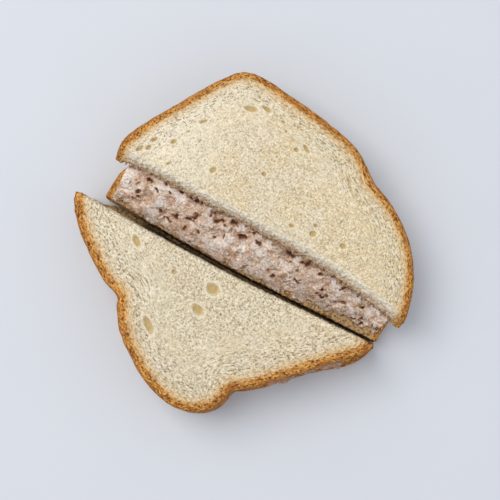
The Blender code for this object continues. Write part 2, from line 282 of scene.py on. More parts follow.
breadFinish = {
    "crumb": paint(227, 212, 179),
    "crumbYellow": paint(226, 204, 159),
    "crumbGrey": paint(210, 199, 176),
    "crumbLight": paint(252, 242, 220),
    "crumbDark": paint(124, 102, 60),
    # painted shade inside the large pores, and a painted highlight round their rims
    "poreShade": paint(200, 173, 114),
    "poreRimHighlight": paint(242, 232, 205),
    "cut": paint(246, 238, 220),
    "cutLow": paint(208, 175, 140),
    "cutPits": paint(150, 118, 88),
    # painted shade: near black, for the crevice between the halves
    "stain": paint(184, 142, 106),
    "stainDark": paint(90, 54, 30),
    "oiled": paint(208, 176, 124),
    "oiledDark": paint(138, 99, 58),
    "gap": paint(28, 16, 8),
    "crustInner": paint(220, 181, 118),
    "crustLight": paint(244, 190, 112),
    "crust": paint(212, 151, 72),
    "crustDark": paint(170, 106, 38),
    "crustSpeck": paint(84, 40, 10),
    "crustFrom": 5.6,  # where the golden rim has faded into the crumb
    "crustTo": 3.4,
    # sizes of patterns in millimetres
    "drawnCells": (1.9, 0.85, 0.85),  # near the crust the cells are drawn out beside it
    "evenCells": (1.02, 1.02, 1.02),
    "drawnFrom": 10.0,
    "drawnTo": 30.0,
    "fine": (0.45, 0.45, 0.45),
    "mottle": (2.8, 2.8, 2.8),
    "patches": (13.0, 13.0, 13.0),
    "yellower": 0.0009,  # for each millimetre to the east
    "grit": (1.2, 1.2, 1.2),
    "frayed": (1.7, 1.7, 1.7),
    "drips": (1.6, 1.6, 2.4),
    "fray": (3.0, 1.6, 1.6),
    "bakedPatch": (8.0, 3.0, 4.0),
    "streaks": (1.7, 0.75, 0.9),
    "specks": (1.5, 0.9, 0.9),
    "crumbRough": 0.88,
    "crustRough": 0.68,
    "shine": 0.22,
    "glow": 0.12,  # how much of the light goes below the surface
    "glowDeep": 0.0012,  # and how deep, in metres
    "bump": 0.0011,
}


def makeBreadFinish(look):
    material, tree, shader = newFinish("white_bread")
    place = millimetres(tree)
    rind, (_, far, _) = attributeOf(tree, "rind")  # along the crust, from the crust, height
    _, (fromCut, fromFish, hollow) = attributeOf(tree, "edge")
    # the crevice's painted shade, the oil, and the painted highlight round each pore's rim
    _, (gapShade, oil, poreRimHighlight) = attributeOf(tree, "gap")

    # small cells, light and dark, drawn out along the crust and even in the middle
    drawn = speckled(tree, rind, look["drawnCells"], 3.1, 3.0, 0.6)
    even = speckled(tree, place, look["evenCells"], 8.3, 3.0, 0.6)
    cells = blended(tree, ranged(tree, far, look["drawnFrom"], look["drawnTo"]), drawn, even)
    fine = speckled(tree, place, look["fine"], 1.7, 1.0)
    mottle = speckled(tree, place, look["mottle"], 2.6, 2.0)
    east, north, _ = addNode(tree, "SeparateXYZ", {0: place}).outputs
    patches = speckled(tree, place, look["patches"], 5.2)
    patches = maths(tree, "ADD", patches, times(tree, east, look["yellower"]))
    crumb = mixed(tree, ranged(tree, patches, 0.36, 0.64), look["crumb"], look["crumbYellow"])
    crumb = mixed(tree, ranged(tree, north, 6.0, -14.0, 0.0, 0.5), crumb, look["crumbGrey"])
    crumb = mixed(tree, ranged(tree, east, 20.0, 55.0, 0.0, 0.3), crumb, look["crumbYellow"])
    # painted light: the crumb is paler to the west and north, towards the window
    windowSideLight = times(tree, ranged(tree, east, -15.0, -60.0, 0.0, 0.7), ranged(tree, north, 10.0, 30.0))
    crumb = mixed(tree, windowSideLight, crumb, look["crumbLight"])
    crumb = mixed(tree, ranged(tree, mottle, 0.48, 0.66, 0.0, 0.6), crumb, look["crumbGrey"])
    crumb = mixed(tree, ranged(tree, mottle, 0.46, 0.32, 0.0, 0.35), crumb, look["crumbLight"])
    crumb = mixed(tree, ranged(tree, cells, 0.50, 0.61, 0.0, 0.8), crumb, look["crumbLight"])
    low = ranged(tree, cells, 0.47, 0.385)
    calm = times(tree, ranged(tree, far, 8.0, 24.0), ranged(tree, north, -4.0, 8.0, 0.0, 0.2))
    deeper = maths(tree, "SUBTRACT", ranged(tree, far, 22.0, 8.0, 0.6, 0.8), calm)
    crumb = mixed(tree, times(tree, low, deeper), crumb, look["crumbDark"])
    crumb = mixed(tree, ranged(tree, fine, 0.48, 0.32, 0.0, 0.36), crumb, look["crumbDark"])
    crumb = mixed(tree, ranged(tree, fine, 0.52, 0.68, 0.0, 0.5), crumb, look["crumbLight"])

    # the knife has torn the cut, and the filling has soaked into what touches it
    grit = speckled(tree, place, look["grit"], 12.3, 3.0, 0.7)
    cutAmount = ranged(tree, strayed(tree, fromCut, mottle, 4.0), 1.8, 0.2)
    cutColour = mixed(tree, ranged(tree, fromFish, 11.0, 5.0), look["cut"], look["cutLow"])
    gritty = ranged(tree, fromFish, 10.0, 5.5, 0.45, 1.0)
    pits = times(tree, ranged(tree, grit, 0.50, 0.40, 0.0, 0.75), gritty)
    cutColour = mixed(tree, pits, cutColour, look["cutPits"])
    cutColour = mixed(tree, ranged(tree, grit, 0.52, 0.60, 0.0, 0.6), cutColour, look["crumbLight"])
    crumb = mixed(tree, times(tree, cutAmount, 0.8), crumb, cutColour)
    frayed = speckled(tree, place, look["frayed"], 9.4, 3.0, 0.6)
    soak = strayed(tree, fromFish, frayed, 9.0)
    crumb = mixed(tree, ranged(tree, soak, 6.4, 2.8, 0.0, 0.85), crumb, look["stain"])
    pitted = times(tree, ranged(tree, soak, 5.8, 3.2), ranged(tree, even, 0.48, 0.36))
    crumb = mixed(tree, pitted, crumb, look["stainDark"])
    # a painted highlight round each pore's rim, and painted shade inside the pores
    crumb = mixed(tree, times(tree, poreRimHighlight, 0.7), crumb, look["poreRimHighlight"])
    crumb = mixed(tree, times(tree, hollow, 0.9), crumb, look["poreShade"])
    drips = speckled(tree, place, look["drips"], 4.9, 3.0, 0.6)
    oily = mixed(tree, ranged(tree, drips, 0.40, 0.54), look["oiledDark"], look["oiled"])
    crumb = mixed(tree, oil, crumb, oily)

    # the baked rim, with dark and light streaks along it that thin out into the crumb
    fray = speckled(tree, rind, look["fray"], 4.4, 3.0, 0.6)
    rim = strayed(tree, far, fray, 4.2)
    patch = ranged(tree, speckled(tree, rind, look["bakedPatch"], 6.8, 2.0), 0.36, 0.62)
    streaks = speckled(tree, rind, look["streaks"], 7.7, 3.0, 0.65)
    specks = speckled(tree, rind, look["specks"], 2.9, 2.0, 0.6)
    baked = mixed(tree, patch, look["crust"], look["crustDark"])
    baked = mixed(tree, ranged(tree, rim, 2.4, 4.6), baked, look["crustInner"])
    baked = mixed(tree, ranged(tree, streaks, 0.52, 0.64, 0.0, 0.8), baked, look["crustLight"])
    baked = mixed(tree, ranged(tree, streaks, 0.50, 0.38, 0.0, 0.85), baked, look["crustDark"])
    baked = mixed(tree, ranged(tree, far, 1.3, 0.2, 0.0, 0.55), baked, look["crustDark"])
    speck = times(tree, ranged(tree, specks, 0.48, 0.39), ranged(tree, far, 6.5, 2.0, 0.4, 0.9))
    baked = mixed(tree, speck, baked, look["crustSpeck"])
    crumb = mixed(tree, ranged(tree, rim, 8.5, 4.5, 0.0, 0.45), crumb, look["crustInner"])
    strewn = times(tree, ranged(tree, streaks, 0.44, 0.34), ranged(tree, far, 11.0, 4.0, 0.0, 0.9))
    crumb = mixed(tree, strewn, crumb, look["crustDark"])
    crust = ranged(tree, rim, look["crustFrom"], look["crustTo"])
    whole = mixed(tree, crust, crumb, baked)
    # painted shade, near black, down in the crevice between the halves
    tree.links.new(mixed(tree, gapShade, whole, look["gap"]), shader.inputs["Base Color"])

    roughness = blended(tree, crust, look["crumbRough"], look["crustRough"])
    tree.links.new(roughness, shader.inputs["Roughness"])
    shader.inputs["Specular IOR Level"].default_value = look["shine"]
    shader.inputs["Subsurface Weight"].default_value = look["glow"]
    shader.inputs["Subsurface Radius"].default_value = (1.0, 0.7, 0.4)
    shader.inputs["Subsurface Scale"].default_value = look["glowDeep"]

    porous = maths(tree, "ADD", cells, times(tree, fine, 0.45))
    rough = times(tree, times(tree, cutAmount, gritty), times(tree, grit, 1.4))
    porous = maths(tree, "ADD", porous, rough)
    speckly = maths(tree, "ADD", streaks, times(tree, specks, 0.6))
    height = blended(tree, crust, porous, speckly)
    bump = addNode(tree, "Bump", {"Strength": 0.8, "Distance": look["bump"], "Height": height})
    tree.links.new(bump.outputs[0], shader.inputs["Normal"])
    return material


tunaFinish = {
    "flesh": paint(244, 230, 217),
    "fleshTan": paint(237, 216, 191),
    "fleshPink": paint(239, 223, 218),
    # the paste, whose colour is also a painted highlight on the tops of the lumps
    "paste": paint(254, 248, 242),
    "vein": paint(176, 138, 112),
    # oil, and painted shade between the lumps, below the top slice and beside the pits
    "oilAndShade": paint(192, 145, 98),
    "foot": paint(216, 180, 138),
    # painted shade in the creases and hollows of the filling
    "hollow": paint(176, 130, 100),
    # the pits are brown, and painted shade darkens them most in their depths
    "pit": paint(148, 92, 52),
    "deep": paint(60, 28, 10),
    # sizes of patterns in millimetres
    "pasty": (5.0, 5.0, 5.0),
    "threads": (4.5, 0.6, 0.6),
    "grains": (0.95, 0.95, 0.95),
    "damp": (2.2, 2.2, 2.2),
    "wet": 0.34,  # roughness where it is wettest and driest
    "dry": 0.58,
    "shine": 0.45,
    "glow": 0.4,
    "glowDeep": 0.002,
    "bump": 0.0003,
}


def makeTunaFinish(look):
    material, tree, shader = newFinish("tuna_salad")
    place = millimetres(tree)
    _, (tint, hollow, oilAndShade) = attributeOf(tree, "flesh")
    fibre, _ = attributeOf(tree, "fibre")
    _, (pit, height, crestHighlight) = attributeOf(tree, "pit")

    base = mixed(tree, ranged(tree, tint, 0.0, 0.5), look["fleshTan"], look["flesh"])
    base = mixed(tree, ranged(tree, tint, 0.5, 1.0), base, look["fleshPink"])
    pasty = speckled(tree, place, look["pasty"], 3.9, 2.0)
    base = mixed(tree, ranged(tree, pasty, 0.46, 0.66, 0.0, 0.35), base, look["paste"])

    # oil and dressing have gathered brown at the foot; between the lumps the oil-and-shade colour is partly
    # oil and partly painted shade, and below the top slice and beside the pits it is painted shade
    sunken = maths(tree, "ADD", height, times(tree, pasty, 9.0))
    base = mixed(tree, ranged(tree, sunken, 19.6, 16.2, 0.0, 0.8), base, look["foot"])
    base = mixed(tree, ranged(tree, oilAndShade, 0.0, 1.0, 0.0, 0.8), base, look["oilAndShade"])
    # painted highlight: the tops of the lumps are lightened with the paste colour
    base = mixed(tree, times(tree, crestHighlight, 0.6), base, look["paste"])

    # each flake's threads, and the fine grain over them
    threads = speckled(tree, fibre, look["threads"], 2.2, 2.0, 0.6)
    grains = speckled(tree, place, look["grains"], 6.1, 3.0, 0.65)
    base = mixed(tree, ranged(tree, threads, 0.44, 0.62, 0.0, 0.4), base, look["paste"])
    base = mixed(tree, ranged(tree, grains, 0.49, 0.36, 0.0, 0.62), base, look["vein"])
    base = mixed(tree, ranged(tree, grains, 0.52, 0.64, 0.0, 0.55), base, look["paste"])
    # painted shade in the creases and hollows
    base = mixed(tree, ranged(tree, hollow, 0.25, 1.0, 0.0, 0.8), base, look["hollow"])
    frayed = strayed(tree, pit, grains, 0.9)
    # brown pits, with painted shade darkest in their depths
    base = mixed(tree, ranged(tree, frayed, 0.08, 0.75, 0.0, 0.92), base, look["pit"])
    base = mixed(tree, ranged(tree, frayed, 0.5, 1.0, 0.0, 0.88), base, look["deep"])
    tree.links.new(base, shader.inputs["Base Color"])

    damp = speckled(tree, place, look["damp"], 1.2, 2.0)
    roughness = ranged(tree, damp, 0.35, 0.65, look["wet"], look["dry"])
    tree.links.new(roughness, shader.inputs["Roughness"])
    shader.inputs["Specular IOR Level"].default_value = look["shine"]
    shader.inputs["Subsurface Weight"].default_value = look["glow"]
    shader.inputs["Subsurface Radius"].default_value = (1.0, 0.65, 0.5)
    shader.inputs["Subsurface Scale"].default_value = look["glowDeep"]
    relief = maths(tree, "ADD", threads, times(tree, grains, 0.9))
    bump = addNode(tree, "Bump", {"Strength": 0.8, "Distance": look["bump"], "Height": relief})
    tree.links.new(bump.outputs[0], shader.inputs["Normal"])
    return material


bread = makeBreadFinish(breadFinish)
tuna = makeTunaFinish(tunaFinish)
print("finishes made")


# Bread

sliceLook = {
    "voxel": 0.44,
    "smoothing": 22,
    "most": 190000,  # triangles
    "swell": 0.22,
    "swellWave": 16.0,
    "ripple": 0.10,
    "rippleWave": 5.0,
    "crumbDeep": 0.3,
    "crumbWave": 1.3,
    "wrinkle": 0.3,
    "wrinkleWave": 1.7,
    "sharp": 0.85,  # how much of their rounding the cut's edges lose
    "sharpWithin": 4.0,
    "smallPores": 60,
    "torn": 0.5,  # how rough the cut is
    "tornWave": 1.6,
    "back": 0.0,  # how far the cut's upper edge lies behind the solid's, to make room for its crags
    "backOver": 0.0,  # above this height
    "backTo": None,  # and no further along the cut than this
    "ragged": {-1.0: 2.8, 1.0: 0.7},  # how far the foot of each half's top slice wanders
    "raggedWave": 1.7,
    "pressed": 0.35,  # the feet of the bottom slices are pressed together
    "cutHidden": 0.0,  # how much further from the cut its colour thinks it is
    "shadeFrom": (-68.0, -44.0),  # painted shade darkens the crevice between these places along it
    "leant": 0.4,  # keeps the cells short round the crust's inward corners
    "farOff": 12.0,  # the finish needs to know no larger distance than this
    "besideWithin": 16.0,  # small pores this near the crust lie beside it
    "fullPore": 1.6,  # narrower pores are shallower
    "poreDeep": 1.5,
    "poreSizes": (0.8, 1.7),
    "poreWidths": (0.4, 0.8),
    "bulges": (),  # where the crust spreads: the place, how far round it, and how far out
}

# Large pores that show: where they are, how long and wide, and which way they lie
halfAPores = (
    (-30.8, 67.8, 7.0, 3.0, 16),
    (-23.7, 71.5, 5.6, 2.2, -8),
    (-13.5, 69.7, 2.6, 1.4, -10),
    (-1.1, 60.5, 2.8, 2.2, 0),
    (3.2, 63.3, 5.6, 1.9, -27),
    (30.9, 57.6, 15.0, 0.8, -44),
    (-48.7, 50.9, 4.7, 1.5, 48),
    (-32.7, 31.7, 3.9, 2.7, 60),
    (-9.5, 42.0, 2.8, 2.2, 0),
    (14.8, 25.9, 3.0, 2.2, 0),
    (25.4, 31.8, 2.4, 2.0, 0),
    (26.0, 27.5, 3.8, 3.1, 40),
    (42.1, 29.3, 3.4, 2.9, 0),
    (-66.0, 31.2, 4.2, 2.2, 55),
    (-70.3, 23.7, 4.8, 2.2, 60),
    (-66.6, 26.4, 3.8, 2.1, 60),
    (-56.9, 34.9, 3.8, 2.1, 50),
    (-53.8, 24.2, 3.4, 1.3, 60),
)
halfBPores = (
    (-49.4, -17.5, 7.0, 3.2, -38),
    (-4.5, -20.4, 7.0, 5.6, -5),
    (-6.2, -33.1, 7.2, 4.6, -18),
    (-24.4, -51.6, 10.0, 3.6, -38),
    (-25.4, -22.0, 2.8, 2.5, 0),
)


def crustMap(at, out, facing):
    # how far each point lies from the crust, and how far along it, seen from above
    stretches = 240

    # the cut looks out of its half, and the crust stands upright round the rest
    isCut = (out[:, 1] * facing > 0.55) & (np.abs(out[:, 2]) < 0.8)
    upright = np.abs(out[:, 2]) < 0.25
    wall = inPlan(at[upright & ~isCut & (out[:, 1] * facing < 0.35)])
    middle = np.array([0.5 * (at[:, 0].min() + at[:, 0].max()), (at[isCut, 1]).mean(), 0.0])
    turned = (wall - middle) * (1.0, -facing, 1.0)
    angle = np.arctan2(turned[:, 1], turned[:, 0])
    bins = np.array_split(np.argsort(angle), stretches)
    corners = np.array([wall[b].mean(axis=0) for b in bins])
    angles = np.array([angle[b].mean() for b in bins])
    walked = np.concatenate([[0.0], np.cumsum(np.linalg.norm(np.diff(corners, axis=0), axis=1))])
    tree = treeOf(wall)
    found = [tree.find(p) for p in inPlan(at).tolist()]
    nearest = np.array([f[1] for f in found])
    far = np.array([f[2] for f in found])
    along = np.interp(angle[nearest], angles, walked)
    return along, far, isCut


def sinkPores(at, flat, pores, look, rng, far):
    # how deep each point of the upper face lies in a pore, from 0 to 1, and how near it lies to its edge,
    # for the painted shade in the pore and the painted highlight round its rim
    sunk, rim = np.zeros(len(at)), np.zeros(len(at))
    index = np.flatnonzero(flat)
    tree = treeOf(inPlan(at[index]))
    wanted = [(x, y, length, width, math.radians(turn)) for x, y, length, width, turn in pores]
    for _ in range(look["smallPores"]):
        i = index[rng.randrange(len(index))]
        size = rng.uniform(*look["poreSizes"])
        beside = look["towards"][i] + 0.5 * math.pi
        turn = beside if far[i] < look["besideWithin"] else rng.uniform(0.0, math.pi)
        wanted.append((at[i, 0], at[i, 1], size, size * rng.uniform(*look["poreWidths"]), turn))
    for x, y, length, width, turn in wanted:
        c, s = math.cos(turn), math.sin(turn)
        for place, i, _ in tree.find_range((x, y, 0.0), 0.95 * length):
            u, v = place[0] - x, place[1] - y
            off = math.hypot(2.0 * (u * c + v * s) / length, 2.0 * (v * c - u * s) / width)  # 1 at its edge
            weight = min(1.0, width / look["fullPore"])
            sunk[index[i]] = max(sunk[index[i]], float(eased(off, 1.2, 0.5)) * weight)
            rim[index[i]] = max(rim[index[i]], float(eased(abs(off - 1.25), 0.32, 0.05)) * weight)
    return sunk, rim


def footOf(at, isCut, facing):
    # the line along which the foot of a bottom slice's cut face stands out furthest
    stretches = 40
    low = isCut & (at[:, 2] > 1.0) & (at[:, 2] < 4.0)
    places = np.linspace(at[low, 0].min(), at[low, 0].max(), stretches + 1)
    bins = np.digitize(at[low, 0], places)
    reach = [facing * (facing * at[low, 1][bins == i]).max() for i in range(1, stretches + 1)]
    return lambda x: np.interp(x, 0.5 * (places[1:] + places[:-1]), reach)


def fitted(first, second, value, most):
    # a smooth surface through the values, with so many powers of each of two coordinates
    halfLength = 80.0  # keeps the powers small

    def terms(a, b):
        a, b = a / halfLength, b / halfLength
        return np.stack([a ** i * b ** j for i in range(most[0]) for j in range(most[1])], axis=1)

    weights = np.linalg.lstsq(terms(first, second), value, rcond=None)[0]
    return lambda a, b: terms(a, b) @ weights


def squareEdges(at, out, isCut, facing, isTop, look):
    # a knife leaves sharp edges along the cut, so the points of the rounded ones go out to the corner
    x, y, z = at.T
    upper, under = out[:, 2] > 0.97, out[:, 2] < -0.97
    top = fitted(x[upper], y[upper], z[upper], (5, 5))(x, y)
    base = fitted(x[under], y[under], z[under], (5, 5))(x, y)
    up = z - base
    face = isCut & (up > 4.0) & (up < 8.0)  # the part of the cut that isn't rounded
    behind = facing * (fitted(x[face], up[face], y[face], (6, 2))(x, up) - y)
    for height, way in ((top - z, 1.0), (up, -1.0)):
        near = (behind < look["sharpWithin"]) & (height < look["sharpWithin"])
        move = look["sharp"] * np.where(near, np.clip(np.minimum(behind, height), 0.0, 1.5), 0.0)
        if way > 0.0 or isTop:
            at = at + move[:, None] * (0.0, facing, way)
    return at


def makeSlice(node, name, facing, fish, own):
    # facing is 1.0 where the half's cut looks along +Y, and -1.0 where it looks along -Y
    look = {**sliceLook, **own}
    isTop = node.endswith("top_slice")
    seed = look["seed"]
    rng = random.Random(seed)
    piece = newPiece(name, nodeMesh(node))
    makeFine(piece, look["voxel"], look["smoothing"])
    at, out = placesOf(piece), normalsOf(piece)
    along, far, isCut = crustMap(at, out, facing)
    if facing > 0.0 or not isTop:
        at = squareEdges(at, out, isCut, facing, isTop, look)
    cutTree = treeOf(at[isCut])
    farOff = look["farOff"]
    fromCut = np.array([min(cutTree.find(p)[2], farOff) for p in at.tolist()])
    fromFish = np.array([min(fish.find_nearest(Vector(p) * mm)[3] / mm, farOff) for p in at.tolist()])

    # the direction away from the crust, to lay the pores beside it
    slope = np.zeros((len(at), 2))
    first, second = edgesOf(piece).T
    rise = (far[second] - far[first])[:, None] * (at[second, :2] - at[first, :2])
    for k in range(2):
        slope[:, k] = np.bincount(first, rise[:, k], len(at)) + np.bincount(second, rise[:, k], len(at))
    look["towards"] = np.arctan2(slope[:, 1], slope[:, 0])

    flat = out[:, 2] > 0.8
    shows = flat & (fromCut > 1.5) & (far > 3.0)
    hollow, rim = sinkPores(at, shows, look["pores"], look, rng, far)

    crumbly = eased(far, 2.5, 6.0)
    cells = wavy(at, look["crumbWave"], seed + 3) + 0.5 * wavy(at, 0.6 * look["crumbWave"], seed + 8)
    lift = look["swell"] * wavy(at, look["swellWave"], seed)
    lift += look["ripple"] * wavy(at, look["rippleWave"], seed + 1)
    lift -= look["crumbDeep"] * crumbly * eased(cells, 0.05, -0.45)
    drawn = np.stack([along * 0.45, far, at[:, 2]], axis=1)
    lift += look["wrinkle"] * (1.0 - crumbly) * wavy(drawn, look["wrinkleWave"], seed + 2)
    lift -= look["poreDeep"] * hollow
    lift *= np.where(at[:, 2] < 0.4, 0.0, 1.0)  # the underside stays flat
    at = at + out * lift[:, None]
    for (x, y), reach, outBy in look["bulges"]:
        away = Vector((x, y, 0.0)).normalized() * outBy
        near = eased(np.hypot(at[:, 0] - x, at[:, 1] - y), reach, 0.0) * eased(far, 12.0, 0.0)
        at = at + near[:, None] * away

    # the knife tears the crumb, and leaves it ragged where it meets the filling
    onCut = eased(fromCut, 1.0, 0.1)
    torn = wavy(at, look["tornWave"], seed + 4) + 0.7 * wavy(at, 0.5 * look["tornWave"], seed + 5)
    at[:, 1] += facing * onCut * (eased(far, 1.0, 3.5) * look["torn"] * torn)
    back = look["back"] * eased(at[:, 2], look["backOver"] - 4.0, look["backOver"])
    if look["backTo"]:
        back = back * eased(at[:, 0], look["backTo"], look["backTo"] - 30.0)
    at[:, 1] -= facing * eased(fromCut, 2.5, 0.5) * back
    gapShade, oiled = np.zeros(len(at)), np.zeros(len(at))
    if isTop:
        foot = eased(fromFish, 5.2, 2.6) * onCut
        teeth = wavy(at * (1.0, 1.0, 0.5), look["raggedWave"], seed + 6)
        ragged = foot * look["ragged"][facing]
        at[:, 1] += facing * ragged * (teeth - 0.1)
        at[:, 2] += 0.5 * ragged * wavy(at * (1.0, 1.0, 0.5), look["raggedWave"], seed + 7)
        # painted shade on the lower part of this cut face, down in the crevice
        if facing > 0.0:
            gapShade = 0.85 * eased(at[:, 0], *look["shadeFrom"]) * onCut * eased(fromFish, 9.0, 6.0)
    else:
        # painted shade darkens the crevice between the bottom slices, and beside it the bread is brown with
        # oil
        foot = footOf(at, isCut, facing)
        fromFoot = facing * (foot(at[:, 0]) - at[:, 1])
        at[:, 1] += facing * look["pressed"] * eased(fromFoot, 1.8, 0.2) * eased(at[:, 2], 7.0, 3.0)
        shade = eased(at[:, 0], *look["shadeFrom"])
        if facing < 0.0:
            gapShade = 0.8 * shade * onCut * eased(at[:, 2], 10.5, 8.0)
            oiled = eased(fromFoot, 14.0, 9.0) * (0.5 + 0.4 * eased(at[:, 0], -70.0, -10.0))
        else:
            gapShade = onCut * shade * eased(fromFoot, 0.2, 1.7)
            oiled = onCut
    at[:, 2] = np.maximum(at[:, 2], 0.0)
    moveTo(piece, at)
    keepAttribute(piece, "rind", (along, far * look["crustScale"], at[:, 2] + look["leant"] * at[:, 1]))
    keepAttribute(piece, "edge", (fromCut + look["cutHidden"], fromFish, hollow))
    keepAttribute(piece, "gap", (gapShade, oiled, rim))
    thinOut(piece, out[:, 2] < -0.8, look["most"])
    finishPiece(piece, bread, "white_bread", node)


# Tuna

tunaLook = {
    "voxel": 0.38,
    "smoothing": 6,
    "most": 190000,  # triangles
    "lumps": 2.6,  # height of the soft lumps of paste
    "lumpWave": 6.5,
    "knobs": 1.0,
    "knobWave": 2.8,
    "threads": 0.24,  # height of the fibres
    "threadWave": 0.9,
    "grains": 0.4,
    "grainWave": 1.1,
    "hollowRounds": 30,
    "hollowDeep": 1.1,  # a hollow this deep has its full painted shade
    "pitDeep": 0.5,  # share of a pit's width
    "pitRough": 0.65,
    "pitWave": 1.5,
    "underTop": 12.0,  # pits further back than this, below the top slice, are larger
    "larger": 1.15,
    "smaller": 0.85,  # and those in front of it smaller than measured
    "fullPit": 1.8,  # a pit this wide has its full colour
    "bead": 0.55,  # fine relief on what was pressed back
    "beadWave": 1.2,
    "underFoot": (1.8, 4.4),  # lengths of the pits below the top slice
    "underFootFrom": 0.4,  # they lie between this far and so far below its foot
    "underFootTo": 3.6,
    "smallPits": (0.7, 1.7),  # lengths
    "leastShade": 0.0,  # painted shade, in the oil-and-shade colour, over all of it at least this much
    "bandShade": 0.7,  # and how much painted shade just below the top slice
    "bandFrom": 5.5,  # it starts this far down, and is full this near the slice
    "bandFull": 1.0,
    "shadeSpot": ((0.0, 0.0), 1.0, 0.0),  # where painted shade browns it: the place, its radius and how much
    "onBread": 0.2,  # how far the fish stays above the bottom slice
    "lowest": 7.5,  # where it hangs down over the slice's cut face
    "liftMost": 2.0,  # flakes that would sink into the bread are lifted up to so far
    "givesWay": 1.5,  # how far from the gap's own limit it starts to be pressed back
    "breadBelow": 14.0,  # all of the bottom slice lies lower than this
    "lookFrom": 20.0,  # where the search for it starts
}

chunkLook = {
    "lengths": (5.0, 10.0),
    "widths": (0.5, 0.8),  # shares of the length
    "thicks": (0.25, 0.42),
    "sunk": 0.10,  # how far the middle lies under the surface, as a share of the length
    "tilt": 0.22,
    "astray": 0.9,  # how much the directions of neighbours differ
    "blunt": 0.75,
    "rough": 0.45,
    "bend": 0.25,
}

shredLook = {
    "lengths": (2.4, 6.5),
    "widths": (0.2, 0.38),
    "thicks": (0.18, 0.3),
    "sunk": 0.02,
    "tilt": 0.3,
    "astray": 0.5,
    "blunt": 0.8,
    "rough": 0.5,
    "bend": 0.5,
}

looseLook = {
    "lengths": (1.6, 4.2),
    "widths": (0.24, 0.42),
    "thicks": (0.2, 0.32),
    "sunk": 0.0,
    "tilt": 0.22,
    "astray": 0.7,
    "blunt": 0.85,
    "rough": 0.45,
    "bend": 0.6,
}

# Brown hollows in half A's filling: where they show from above, how long and wide, and which way they lie
halfAPits = (
    (-53.0, 9.0, 3.0, 2.0, 130),
    (-47.5, 12.0, 4.0, 2.5, 150),
    (-42.5, 15.0, 3.5, 2.4, 180),
    (-61.0, 2.0, 4.0, 2.0, 180),
    (-63.0, 0.0, 3.4, 2.5, 150),
    (-48.0, 1.5, 5.2, 2.4, 150),
    (-36.0, 15.5, 3.5, 2.5, 170),
    (-32.0, 14.5, 5.2, 3.2, 10),
    (-30.5, 6.5, 6.0, 3.2, 75),
    (-24.0, 12.0, 4.0, 2.5, 120),
    (-22.0, 14.0, 4.5, 2.5, 10),
    (-39.0, 1.5, 3.4, 3.0, 30),
    (-32.5, 0.5, 4.8, 3.0, 90),
    (-25.5, 1.0, 3.2, 2.0, 140),
    (-17.5, 11.5, 5.2, 3.0, 10),
    (-14.5, 10.5, 3.2, 2.0, 30),
    (-11.0, 14.0, 4.8, 3.2, 30),
    (-16.5, 2.5, 2.5, 2.0, 30),
    (-12.0, 4.5, 3.0, 1.8, 100),
    (-5.5, -1.5, 2.2, 1.9, 30),
    (-59.5, 12.5, 4.5, 2.0, 180),
    (-51.0, 15.0, 2.8, 1.8, 160),
    (3.5, 11.0, 7.5, 2.5, 155),
    (11.5, 14.0, 2.8, 2.0, 30),
    (22.0, 13.0, 6.5, 4.2, 65),
    (28.5, 12.0, 2.6, 2.5, 30),
    (33.0, 13.0, 5.2, 2.5, 70),
    (39.5, 12.0, 4.0, 2.5, 60),
    (19.0, -1.0, 3.4, 3.0, 30),
    (44.5, 5.5, 4.5, 2.5, 90),
    (51.5, -0.5, 2.2, 1.8, 30),
    (53.5, 10.5, 4.8, 2.0, 60),
    (0.0, 14.0, 3.4, 2.0, 90),
    (43.0, 2.0, 4.0, 2.0, 70),
    (15.5, 1.0, 4.0, 2.0, 90),
)


def scatter(corners, count, draws):
    # so many random points on the triangles, each with its triangle's normal
    across = np.cross(corners[:, 1] - corners[:, 0], corners[:, 2] - corners[:, 0])
    areas = np.linalg.norm(across, axis=1)
    chosen = draws.choice(len(corners), count, p=areas / areas.sum())
    share = draws.random((count, 2))
    share[share.sum(axis=1) > 1.0] = 1.0 - share[share.sum(axis=1) > 1.0]
    a, b, c = (corners[chosen, k] for k in range(3))
    return a + share[:, :1] * (b - a) + share[:, 1:] * (c - a), unit(across)[chosen]


def laidAlong(normals, headings, tilt, draws):
    # turns that lay a shape's flat side on a surface and its length along a heading on it
    count = len(normals)
    level = unit(np.cross((0.0, 0.0, 1.0), normals) + (1e-6, 0.0, 0.0))
    rising = np.cross(normals, level)
    length = np.cos(headings)[:, None] * level + np.sin(headings)[:, None] * rising
    length = unit(length + draws.normal(0.0, tilt, (count, 1)) * normals)
    width = unit(np.cross(normals + draws.normal(0.0, tilt, (count, 1)) * rising, length))
    return np.stack([length, width, np.cross(length, width)], axis=2)


def flakeShapes(look, ball, places, turns, sizes, draws):
    # chunks of cooked fish: rounded blocks, uneven and bent, each with its own turn and sizes
    count = len(places)
    block = np.sign(ball) * np.abs(ball) ** look["blunt"]
    waves = np.einsum("fij,nj->fni", draws.normal(0.0, 1.6, (count, 3, 3)), ball)
    waves = np.sin(waves + draws.uniform(0.0, 6.3, (count, 1, 3))).mean(axis=2)
    shapes = block[None] * (1.0 + look["rough"] * waves)[..., None]
    shapes[..., 1] += draws.normal(0.0, look["bend"], (count, 1)) * (shapes[..., 0] ** 2 - 0.4)
    shapes *= 0.5 * sizes[:, None, :]
    return np.einsum("fij,fnj->fni", turns, shapes) + places[:, None]


